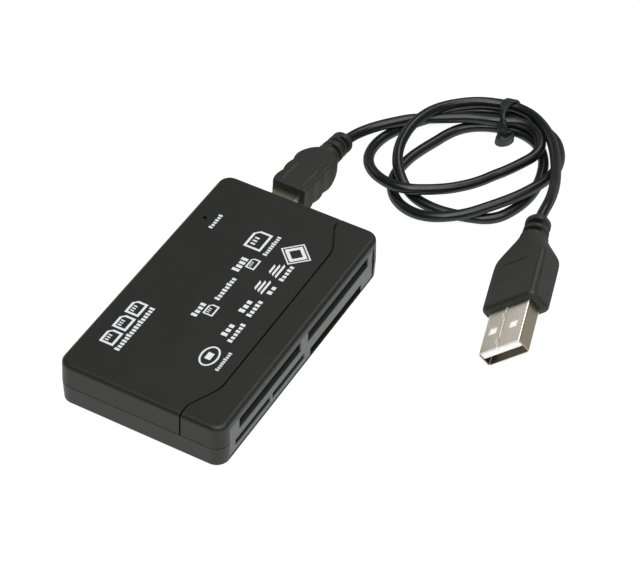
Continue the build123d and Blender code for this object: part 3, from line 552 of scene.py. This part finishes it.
def card(x, y, width, height, line=0.4):
    """Outline of a card with one corner cut off and its contacts along the top, centred on a place."""
    left, bottom = x - width / 2, y - height / 2
    cut = 0.30 * height
    edges = bars(
        (left, bottom, width, line), (left, bottom + line, line, height - line),
        (left + width - line, bottom + line, line, height - line - cut),
        (left + line, bottom + height - line, width - line - cut, line))
    right, top = left + width, bottom + height
    corner = [[(right - cut, top - line), (right - line, top - cut), (right, top - cut), (right - cut, top)]]
    first = left + 0.22 * width
    contacts = bars(*[
        (first + 0.17 * width * k, bottom + 0.50 * height, 0.08 * width, 0.26 * height) for k in range(3)])
    return np.concatenate([edges, corner, contacts])


def ring(x, y, half_wide, half_high, line, sides=24):
    """Oval or square ring of a given line width, centred on a place: four sides give a diamond."""
    angle = 2 * np.pi * np.arange(sides + 1) / sides
    way = np.stack([np.cos(angle), np.sin(angle)], -1)
    outer = (x, y) + way * (half_wide, half_high)
    inner = (x, y) + way * (half_wide - line, half_high - line)
    return np.stack([inner[:-1], outer[:-1], outer[1:], inner[1:]], 1)


def stack(x, y, width, height):
    """Three slanting bars one over another, like cards in a pile."""
    pitch = height / 3
    slant = np.array([(0.0, 0.0), (0.0, 0.0), (0.6, 0.0), (0.6, 0.0)])
    left, bottom = x - width / 2, y - height / 2
    places = [(left + 0.35 * k, bottom + pitch * k, width - 0.9 * k, 0.55 * pitch) for k in range(3)]
    return bars(*places) + slant


def film(quads, bottom, thickness):
    """Thin closed prisms on a level surface, one for each four-cornered outline."""
    count = len(quads)
    low = np.concatenate([quads, np.full((count, 4, 1), bottom)], -1)
    high = np.concatenate([quads, np.full((count, 4, 1), bottom + thickness)], -1)
    vertices = np.concatenate([low, high], 1).reshape(-1, 3)
    box = np.array([(3, 2, 1, 0), (4, 5, 6, 7), (0, 1, 5, 4), (1, 2, 6, 5), (2, 3, 7, 6), (3, 0, 4, 7)])
    return vertices, (np.arange(count)[:, None, None] * 8 + box).reshape(-1, 4).tolist()


# Steps

class READER_OT_housing(bpy.types.Operator):
    """Finish the moulded covers and the slot panel"""

    bl_idname = "reader.housing"
    bl_label = "Finish Housing"

    def execute(self, context):
        colours = context.scene.reader_finishes
        dress(moulded_plastic("housing_plastic", colours.housing), "top_cover", "front_cover",
              "bottom_cover")
        dress(moulded_plastic("panel_plastic", colours.panel, 0.15, 0.22), "slot_panel")
        return {"FINISHED"}


class READER_OT_inner_parts(bpy.types.Operator):
    """Finish the sockets, contacts and board seen through the slots"""

    bl_idname = "reader.inner_parts"
    bl_label = "Finish Inner Parts"

    def execute(self, context):
        sockets = [name for name in frame["nodes"] if name.endswith("_socket")]
        contacts = [name for name in frame["nodes"] if name.endswith("_contacts")]
        dress(plain_moulding("socket_plastic", (0.010, 0.010, 0.011)), *sockets, "rear_pin_header",
              "usb_socket_tongue", "mini_plug_tongue")
        dress(plated_sheet("contact_brass", (0.83, 0.62, 0.28), (1.0, 0.1, 1.0)), *contacts,
              "rear_header_pins")
        dress(plated_sheet("socket_steel", (0.52, 0.52, 0.50), (0.1, 1.0, 1.0)), "usb_socket_shell",
              "micro_left_lid", "micro_right_lid", "crystal_can")
        dress(solder_mask("board_laminate"), "circuit_board")
        dress(plain_moulding("chip_resin", (0.022, 0.022, 0.024)), "controller_chip", "voltage_regulator",
              "chip_resistors")
        dress(plain_moulding("ceramic", (0.40, 0.29, 0.17)), "chip_capacitors")
        dress(plain_moulding("light_lens", (0.55, 0.16, 0.06), 0.2), "activity_light")
        return {"FINISHED"}


class READER_OT_print_marks(bpy.types.Operator):
    """Print plain card shapes, rings and rows of blocks on the top cover"""

    bl_idname = "reader.print_marks"
    bl_label = "Print Marks"

    def execute(self, context):
        colours = context.scene.reader_finishes
        # Places and sizes on the top, seen from above, in millimetres
        film_thickness = 0.02
        marks = [
            *(card(x, 15.1, 4.6, 3.7, 0.6) for x in (-24.6, -19.2, -13.8)), caption(-19.5, 11.9, 16.0, 1.3, 16),
            ring(-18.5, -7.3, 3.3, 2.2, 0.45), bars((-19.6, -8.0, 2.2, 1.5)),
            caption(-18.3, -10.9, 6.6, 0.9, 9),
            caption(-6.7, 2.6, 5.2, 1.5, 4), card(-5.6, 0.0, 3.6, 2.6),
            caption(2.3, 0.7, 8.6, 1.3, 8),
            caption(-9.0, -6.6, 4.6, 1.5, 3), caption(-8.9, -8.8, 7.0, 1.2, 6),
            caption(-0.3, -6.2, 4.8, 1.5, 3), caption(0.0, -8.4, 6.2, 1.3, 5),
            caption(11.2, 2.0, 5.4, 1.9, 4), card(12.6, -0.6, 3.6, 2.4),
            card(20.2, 2.4, 6.4, 4.6, 0.6), caption(20.3, -1.4, 7.6, 1.1, 9),
            stack(6.9, -5.9, 4.6, 3.0), caption(7.3, -8.8, 3.4, 1.2, 2),
            stack(13.3, -6.1, 4.6, 3.0), caption(13.9, -9.0, 6.0, 1.2, 5),
            ring(20.6, -7.7, 4.1, 4.1, 0.5, 4), ring(20.6, -7.7, 3.1, 3.1, 1.2, 4),
            caption(21.0, 14.5, 5.6, 1.0, 6),
        ]
        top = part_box("top_cover")[1].z
        vertices, faces = film(np.concatenate(marks) * MM, top, film_thickness * MM)
        add_piece("print_marks", vertices, faces, print_film("print_ink", colours.print_ink), False)
        return {"FINISHED"}


class READER_OT_small_plug(bpy.types.Operator):
    """Model the small plug's grip, with scalloped sides, a raised frame and ribs, and ringed relief"""

    bl_idname = "reader.small_plug"
    bl_label = "Model Small Plug"

    def execute(self, context):
        colours = context.scene.reader_finishes
        dress(plated_sheet("mini_shell_steel", colours.warm_nickel, (0.1, 1.0, 1.0), 0.25), "mini_plug_shell")

        # Millimetres along the grip from its front, and half sizes across it
        grip_end, relief_end, fine = 18.2, 27.4, 1.0
        neck, full_wide, full_thick = 3.05, 4.97, 3.65
        scallop, period, flat_end = 0.42, 4.9, 13.5
        widest = 2.5 * period
        edge_round, shoulder_round, rounds_from, flat = 0.55, 2.2, 12.0, 0.2
        tube_start, tube_taper, taper_end = 3.12, 0.27, 25.5
        front_round, tip_round, tip_share = 0.45, 0.9, 0.9
        rings = ((20.2, 21.2, 0.30), (22.6, 23.6, 0.55))
        side_slots, slot_floor = ((20.2, 21.2), (24.4, 25.4)), 0.2
        cross_ribs, rib_half = ((11.3, 2.5), (13.2, 2.3), (15.1, 2.0)), 0.20
        rib_rise, top_share = 0.12, 0.8
        sag = np.array((0.0, -0.2, 0.0))

        along = stations(
            (0.0, fine, 14), (fine, grip_end - fine, 150), (grip_end - fine, grip_end, 20),
            (grip_end, relief_end - fine, 120), (relief_end - fine, relief_end, 16))
        bulges = full_wide - scallop + scallop * np.abs(np.sin(np.pi * along / period))
        shoulder = neck + (full_wide - neck) * shouldered(along, widest, grip_end, 2.4)
        half_wide = np.where(along < widest, bulges, shoulder)
        half_thick = neck + (full_thick - neck) * shouldered(along, flat_end, grip_end, 3)
        corner = np.minimum(edge_round + shoulder_round * rise(along, rounds_from, grip_end), neck - flat)

        relief = along > grip_end
        tube = tube_start - tube_taper * rise(along, grip_end, taper_end)
        tube = tube - tip_share * round_over(relief_end - along, tip_round)
        for low, high, depth in rings:
            tube = tube - depth * within(along, low, high, 0.2)
        half_wide, half_thick = np.where(relief, tube, half_wide), np.where(relief, tube, half_thick)
        corner = np.where(relief, tube - flat, corner)
        front = round_over(along, front_round)
        wide, thick = loop_section(half_wide - front, half_thick - front, corner, loop_shares(44, 9))
        slots = sum(within(along, low, high, 0.15) for low, high in side_slots)
        wide = wide - slots[:, None] * np.minimum(wide + slot_floor, 0)

        # A raised frame, open to the front, and three ribs across the top and not the underside
        ribs = patch(along, wide, (1.9, 9.1), (-3.05, 3.05), 0.10, 0.10)
        ribs = ribs - patch(along, wide, (1.0, 8.6), (-2.55, 2.55), 0.10, 0.10)
        ribs = np.maximum(ribs, 0)
        for middle, half in cross_ribs:
            ribs = ribs + patch(along, wide, (middle - rib_half, middle + rib_half), (-half, half), 0.14, 0.4)
        thick = thick + rib_rise * ribs * (thick > top_share * half_thick[:, None]) * ~relief[:, None]

        path, across, up = straight_path(small_plug_start(), SMALL_PLUG_TURN.to_matrix().col, along * MM)
        bend = (np.maximum(along - grip_end, 0) / (relief_end - grip_end)) ** 2
        path = path + bend[:, None] * sag * MM
        vertices, faces = carried(path, across, up, wide * MM, thick * MM)
        grip = add_piece("small_plug_grip", vertices, faces, soft_rubber("small_grip_rubber", colours.rubber))
        dress(grip.active_material, "mini_plug_grip")
        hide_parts("mini_plug_grip")
        return {"FINISHED"}


class READER_OT_host_plug(bpy.types.Operator):
    """Model the host plug's grip, with its shoulders, cross groove and ringed relief"""

    bl_idname = "reader.host_plug"
    bl_label = "Model Host Plug"

    def execute(self, context):
        colours = context.scene.reader_finishes
        tip = host_plug_tip()
        dress(folded_shell("usb_shell_steel", colours.nickel, tip, HOST_PLUG_TURN), "usb_plug_shell")
        # The white tongue gets painted light: a faint emission brightens it
        dress(plain_moulding("plug_white", (0.95, 0.95, 0.93), 0.4, 0.15), "usb_plug_tongue")

        # Millimetres along the plug from its shell's tip, and half sizes across it
        front, shoulder, neck_at, end, fine = 12.9, 28.9, 36.1, 43.4, 1.7
        full_wide, full_thick, neck_start, neck_taper = 7.85, 3.85, 3.35, 0.25
        front_round, end_round, shoulder_bend = 1.5, 1.1, 1.1
        edge_round, neck_round, flat = 1.7, 1.6, 0.2
        gaps, gap_edge, core, gap_waist = ((37.35, 38.65), (39.95, 41.25)), 0.12, 1.0, 0.10
        groove_depth, top_share = 0.3, 0.8

        along = stations(
            (front, front + fine, 24), (front + fine, neck_at, 130), (neck_at, end - end_round, 100),
            (end - end_round, end, 16))
        drop = ramp(along - shoulder, shoulder_bend) - ramp(along - neck_at, shoulder_bend)
        drop = drop / (neck_at - shoulder)
        neck = neck_start - neck_taper * rise(along, 36.6, 39.4) - round_over(end - along, end_round)
        half_wide = full_wide + (neck - full_wide) * drop
        half_thick = full_thick + (neck - full_thick) * drop
        inset = round_over(along - front, front_round)
        corner = edge_round + neck_round * drop - 0.5 * inset
        corner = np.minimum(corner, np.minimum(half_wide, half_thick) - inset - flat)
        wide, thick = loop_section(half_wide - inset, half_thick - inset, corner, loop_shares(40, 14))
        gap = sum(within(along, low, high, gap_edge) for low, high in gaps)[:, None]
        thick = thick - gap * np.sign(thick) * np.maximum(np.abs(thick) - core, 0)
        wide = wide * (1 - gap_waist * gap)
        groove = patch(along, wide, (26.40, 26.62), (-3.2, 3.4), 0.08, 0.3)
        thick = thick - groove_depth * groove * (thick > top_share * half_thick[:, None])

        path = straight_path(tip, HOST_PLUG_TURN.to_matrix().col, along * MM)
        vertices, faces = carried(*path, wide * MM, thick * MM)
        grip = add_piece("host_plug_grip", vertices, faces, soft_rubber("host_grip_rubber", colours.rubber))
        dress(grip.active_material, "usb_plug_grip")
        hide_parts("usb_plug_grip")
        return {"FINISHED"}


class READER_OT_tie(bpy.types.Operator):
    """Wrap the flat tie round the gathered turns, its tail curled on the table"""

    bl_idname = "reader.tie"
    bl_label = "Wrap Tie"

    # Places that the strip follows, each with the lean of its width from along the bundle (0) to upright (1)
    route = np.array((
        (107.0, -24.6, 1.0, 0.0), (107.0, -24.7, 3.4, 0.0), (106.0, -24.8, 5.7, 0.0), (104.2, -24.3, 7.3, 0.0),
        (101.7, -23.8, 7.6, 0.2), (99.4, -24.4, 6.8, 0.6), (97.6, -25.2, 6.2, 1.0), (96.4, -25.9, 4.4, 0.0),
        (96.0, -26.2, 2.2, 0.0), (95.3, -25.6, 1.5, 0.4), (94.4, -25.3, 1.4, 1.0), (93.8, -26.1, 1.4, 1.0),
        (94.2, -27.4, 1.4, 1.0), (95.8, -28.6, 1.4, 1.0), (97.6, -28.7, 1.4, 1.0), (98.2, -27.7, 1.4, 1.0),
        (97.5, -26.8, 1.4, 1.0), (96.8, -26.7, 1.4, 1.0)))
    bundle = np.array((0.2, -0.98, 0.0))

    def execute(self, context):
        cable = context.scene.reader_cable
        colours = context.scene.reader_finishes
        places = flowing(self.route, 14)
        path, lean = places[:, :3] * MM, places[:, 3:]
        ahead = np.gradient(path, axis=0)
        ahead /= np.linalg.norm(ahead, axis=1, keepdims=True)
        across = self.bundle * (1 - lean) + (0.0, 0.0, 1.0) * lean
        across -= (across * ahead).sum(1, keepdims=True) * ahead
        across /= np.linalg.norm(across, axis=1, keepdims=True)
        even = np.ones(len(path))
        edge_round = 0.4 * cable.tie_thickness
        wide, thick = loop_section(
            cable.tie_width / 2 * even, cable.tie_thickness / 2 * even, edge_round * even, loop_shares(6, 5))
        vertices, faces = carried(path, across, np.cross(ahead, across), wide, thick)
        strip = add_piece("cable_tie_strip", vertices, faces,
                          glossy_jacket("tie_vinyl", scaled(colours.jacket, 2.4), 0.34))
        dress(strip.active_material, "cable_tie")
        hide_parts("cable_tie")
        return {"FINISHED"}


class READER_OT_cable(bpy.types.Operator):
    """Lay the cable as one smooth curve: out of the small plug, round three loose turns, to the host plug"""

    bl_idname = "reader.cable"
    bl_label = "Lay Cable"

    lead_in = (
        (69.7, 5.9, 5.2), (72.9, 5.6, 4.7), (77.0, 4.2, 4.3), (81.0, 1.8, 4.15), (84.3, -1.1, 4.2),
        (87.3, -3.8, 4.2), (89.6, -7.2, 4.2), (91.9, -10.8, 4.2), (94.1, -14.2, 4.2), (96.2, -17.6, 4.2))
    lead_out = (
        (104.2, -23.6, 5.2), (104.7, -26.5, 5.1), (103.9, -30.6, 5.2), (101.6, -34.6, 5.3), (98.3, -38.4, 5.3),
        (94.2, -41.4, 5.4), (89.8, -43.8, 5.8), (84.9, -46.1, 6.6), (79.8, -48.1, 7.6), (74.0, -49.8, 9.0),
        (69.3, -50.6, 9.8), (66.2, -50.8, 9.75), (63.44, -51.23, 9.57))
    # Each turn at even steps clockwise from the tie: distance from the hub, and height
    turns = (
        ((14.1, 4.2), (18.5, 4.2), (19.3, 4.1), (17.0, 3.8), (12.0, 3.5), (10.1, 3.5),
         (9.4, 3.5), (10.3, 3.6), (12.5, 3.9), (17.1, 4.6), (24.9, 5.6), (27.2, 4.5),
         (26.9, 2.4), (24.4, 1.5), (20.8, 1.5), (19.2, 1.5), (19.1, 1.5), (20.1, 1.5)),
        ((21.1, 1.6), (22.6, 1.6), (23.8, 1.6), (22.7, 2.0), (21.4, 3.4), (20.0, 4.2),
         (19.6, 4.3), (20.6, 4.3), (24.4, 4.3), (27.5, 3.3), (26.2, 1.7), (22.5, 1.4),
         (16.5, 1.4), (12.9, 1.4), (11.4, 1.4), (11.6, 1.4), (12.6, 1.4), (13.7, 1.4)),
        ((14.9, 1.5), (17.3, 1.5), (18.6, 1.5), (18.5, 1.5), (18.3, 1.5), (19.2, 1.5),
         (20.7, 1.4), (22.8, 1.4), (21.5, 1.4), (21.6, 1.5), (21.6, 1.9), (20.7, 4.4),
         (19.0, 5.5), (17.2, 6.9), (16.4, 7.0), (16.7, 6.5), (17.4, 5.9), (18.9, 5.4)))
    hub = (84.0, -23.5)

    def execute(self, context):
        cable = context.scene.reader_cable
        colours = context.scene.reader_finishes
        coil = []
        for turn in self.turns:
            reach, height = np.array(turn).T
            angle = -2 * np.pi * np.arange(len(turn)) / len(turn)
            coil.append(np.stack([
                self.hub[0] + reach * np.cos(angle), self.hub[1] + reach * np.sin(angle), height], 1))
        points = np.concatenate([self.lead_in, *coil, self.lead_out]) * MM
        curve = bpy.data.curves.new("cable", "CURVE")
        curve.dimensions = "3D"
        curve.bevel_depth = cable.diameter / 2
        curve.bevel_resolution = 6
        curve.use_fill_caps = True
        spline = curve.splines.new("NURBS")
        spline.points.add(len(points) - 1)
        spline.points.foreach_set("co", np.column_stack([points, np.ones(len(points))]).ravel())
        spline.order_u = 3
        spline.use_endpoint_u = True
        spline.resolution_u = 8
        curve.materials.append(glossy_jacket("cable_vinyl", colours.jacket))
        piece = bpy.data.objects.new("cable", curve)
        context.scene.collection.objects.link(piece)
        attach(piece, "root")
        dress(piece.active_material, "cable_lead_in", "cable_coil", "cable_lead_out")
        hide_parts("cable_lead_in", "cable_coil", "cable_lead_out")
        return {"FINISHED"}


class READER_OT_studio(bpy.types.Operator):
    """Set the pale table, the soft lights and the camera"""

    bl_idname = "reader.studio"
    bl_label = "Set Studio"

    def soft_box(self, name, place, target, size, power, tint):
        """A square light that looks at a point."""
        light = bpy.data.lights.new(name, "AREA")
        light.color = tint
        light.size = size
        light.energy = power
        lamp = bpy.data.objects.new(name, light)
        lamp.location = place
        lamp.rotation_euler = (target - Vector(place)).to_track_quat("-Z", "Y").to_euler()
        lamp.visible_camera = False
        bpy.context.scene.collection.objects.link(lamp)

    def execute(self, context):
        scene = context.scene
        studio = scene.reader_studio
        scene.view_settings.view_transform = "Standard"
        target = Vector(studio.camera_target)
        place = Vector(studio.camera_place)
        camera = bpy.data.objects.new("camera", bpy.data.cameras.new("camera"))
        camera.data.lens = studio.camera_lens
        camera.data.sensor_width = 36.0
        camera.data.clip_start = 0.01
        look = (target - place).to_track_quat("-Z", "Y").to_matrix().to_4x4()
        camera.matrix_world = Matrix.Translation(place) @ look @ Matrix.Rotation(studio.camera_roll, 4, "Z")
        scene.collection.objects.link(camera)
        scene.camera = camera
        white, cool = (1.0, 1.0, 1.0), (0.86, 0.93, 1.0)
        boxes = (
            ("top_light", (-0.12, -0.30, 0.93), 1.05, studio.top_power, white),
            ("streak_light", (-0.43, -0.29, 0.69), 0.12, studio.streak_power, cool),
            ("edge_light", (0.61, -0.04, 0.75), 0.35, studio.edge_power, white),
            ("side_light", (0.35, 0.75, 0.25), 0.6, studio.side_power, white))
        for name, spot, size, power, tint in boxes:
            self.soft_box(name, spot, target, size, power, tint)
        world = bpy.data.worlds.new("surroundings")
        world.use_nodes = True
        background = world.node_tree.nodes["Background"]
        background.inputs["Color"].default_value = (*white, 1.0)
        background.inputs["Strength"].default_value = studio.sky
        scene.world = world
        mesh = bpy.data.meshes.new("table")
        reach, gap_below = 4.0, 0.02 * MM
        corners = [(-reach, -reach, 0), (reach, -reach, 0), (reach, reach, 0), (-reach, reach, 0)]
        mesh.from_pydata(corners, [], [(0, 1, 2, 3)])
        mesh.materials.append(pale_table("table_white"))
        floor = bpy.data.objects.new("table", mesh)
        floor.location.z = -gap_below
        scene.collection.objects.link(floor)
        return {"FINISHED"}


class READER_PT_looks(bpy.types.Panel):
    """Lists the settings and the steps in order"""

    bl_idname = "READER_PT_looks"
    bl_label = "Card Reader"
    bl_space_type = "VIEW_3D"
    bl_region_type = "UI"
    bl_category = "Reader"

    def draw(self, context):
        for name, group in GROUPS.items():
            for setting in group.__annotations__:
                self.layout.prop(getattr(context.scene, name), setting)
        for step in STEPS:
            self.layout.operator(step.bl_idname)


STEPS = (
    READER_OT_housing, READER_OT_inner_parts, READER_OT_print_marks, READER_OT_small_plug,
    READER_OT_host_plug, READER_OT_tie, READER_OT_cable, READER_OT_studio,
)
GROUPS = {"reader_finishes": ReaderFinishes, "reader_cable": ReaderCable, "reader_studio": ReaderStudio}


def register():
    """Registers the settings, the steps and the panel."""
    for made in (*GROUPS.values(), *STEPS, READER_PT_looks):
        bpy.utils.register_class(made)
    for name, group in GROUPS.items():
        setattr(bpy.types.Scene, name, PointerProperty(type=group))


def unregister():
    """Takes away what register() added."""
    for name in GROUPS:
        delattr(bpy.types.Scene, name)
    for made in reversed((*GROUPS.values(), *STEPS, READER_PT_looks)):
        bpy.utils.unregister_class(made)


def main():
    """Runs every step in order."""
    register()
    for step in STEPS:
        group, name = step.bl_idname.split(".")
        getattr(getattr(bpy.ops, group), name)()


if __name__ == "__main__":
    main()
